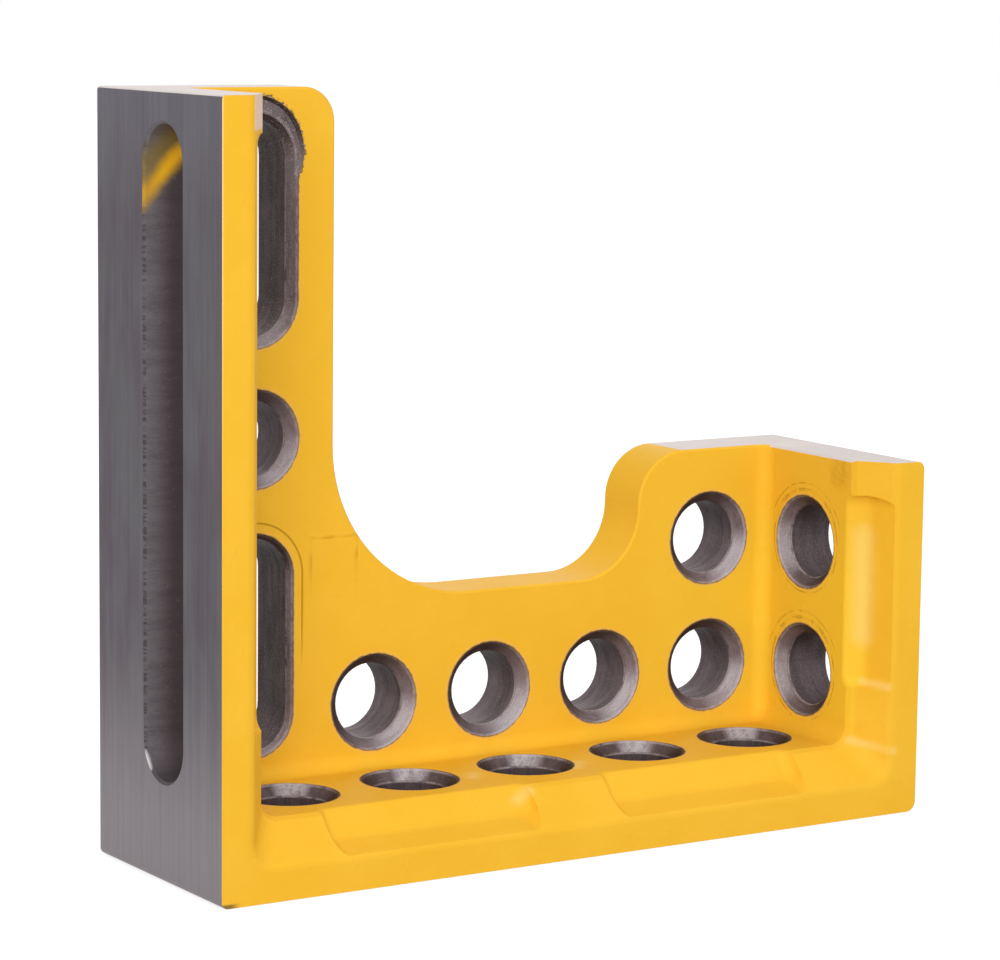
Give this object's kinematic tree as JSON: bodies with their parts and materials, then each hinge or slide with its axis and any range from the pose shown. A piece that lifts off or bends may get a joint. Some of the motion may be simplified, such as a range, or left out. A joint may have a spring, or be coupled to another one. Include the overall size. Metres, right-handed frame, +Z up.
{
  "type": "angle plate",
  "caption": "Cast iron angle plate for a welding table: open square with a tall end, a short end and a cut-out web, pierced by a square grid of bores and by slots for clamping bolts.",
  "frame": {"origin": "middle of the underside of the foot", "axes": "+X along the foot from the tall end to the low end, +Y from the open side to the back, +Z up from the foot"},
  "size_m": [0.3, 0.093, 0.275],
  "materials": {
    "painted_iron": "satin yellow paint on the cast faces; outer faces, bores and slots are bare machined iron"
  },
  "bodies": {
    "root": {"angle_plate": "painted_iron"}
  },
  "joints": []
}
